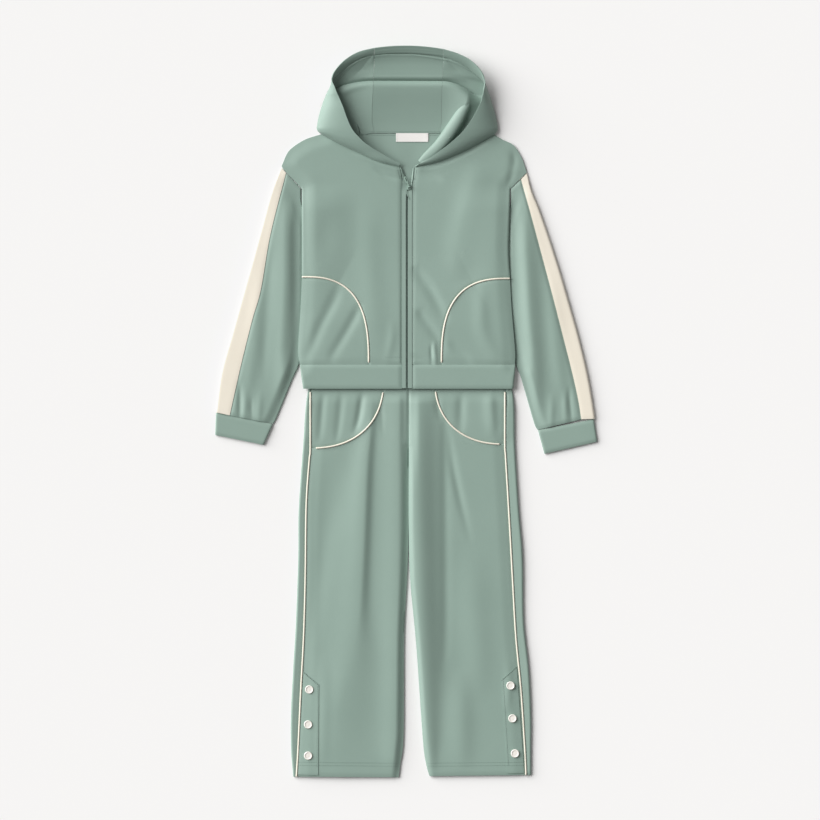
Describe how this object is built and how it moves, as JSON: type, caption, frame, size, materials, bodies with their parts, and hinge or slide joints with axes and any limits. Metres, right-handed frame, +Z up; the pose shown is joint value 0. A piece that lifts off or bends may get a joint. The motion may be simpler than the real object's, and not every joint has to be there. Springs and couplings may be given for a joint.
{
  "type": "tracksuit",
  "caption": "Child's tracksuit laid flat: hooded zip jacket with piped curved pockets and contrast sleeve panels, over wide-leg trousers with side piping and snapped hem vents.",
  "frame": {"origin": "middle of the laid-out set's outline, on the surface it lies on", "axes": "+Z up from the surface, +Y from the trouser hems to the hood, +X to the right of the picture (the wearer's left)"},
  "size_m": [0.6877, 1.3145, 0.0306],
  "materials": {
    "jacket_cloth": "smooth sage green knit with a soft sheen",
    "trouser_cloth": "smooth sage green knit with a soft sheen",
    "cream_cloth": "cream knit",
    "ivory_trim": "ivory snaps and label",
    "zip_trim": "dyed to match the cloth"
  },
  "bodies": {
    "garments": {"waistband": "trouser_cloth", "trouser_front_left": "trouser_cloth", "trouser_front_right": "trouser_cloth", "trouser_pocket_left": "trouser_cloth", "trouser_pocket_right": "trouser_cloth", "trouser_back_left": "trouser_cloth", "trouser_back_right": "trouser_cloth", "vent_placket_left": "trouser_cloth", "vent_placket_right": "trouser_cloth", "jacket_back": "jacket_cloth", "jacket_front_left": "jacket_cloth", "jacket_front_right": "jacket_cloth", "jacket_pocket_left": "jacket_cloth", "jacket_pocket_right": "jacket_cloth", "hem_band": "jacket_cloth", "sleeve_left": "jacket_cloth", "sleeve_right": "jacket_cloth", "cuff_left": "jacket_cloth", "cuff_right": "jacket_cloth", "hood_side_left": "jacket_cloth", "hood_side_right": "jacket_cloth", "hood_centre": "jacket_cloth", "trouser_pocket_piping_left": "cream_cloth", "trouser_pocket_piping_right": "cream_cloth", "side_piping_left": "cream_cloth", "side_piping_right": "cream_cloth", "jacket_pocket_piping_left": "cream_cloth", "jacket_pocket_piping_right": "cream_cloth", "sleeve_stripe_left": "cream_cloth", "sleeve_stripe_right": "cream_cloth", "neck_label": "ivory_trim", "snap_left_1": "ivory_trim", "snap_left_2": "ivory_trim", "snap_left_3": "ivory_trim", "snap_right_1": "ivory_trim", "snap_right_2": "ivory_trim", "snap_right_3": "ivory_trim", "zip_tape_left": "zip_trim", "zip_tape_right": "zip_trim", "zip_chain": "zip_trim", "slider": "zip_trim"},
    "pull": {"pull_tab": "zip_trim"}
  },
  "joints": [
    {"name": "pull_swing", "type": "hinge", "parent": "garments", "child": "pull", "pos_m": [0.0052, 0.4045, 0.00993], "axis": [0.9336, 0.3584, 0], "range_deg": [0, 150]}
  ]
}
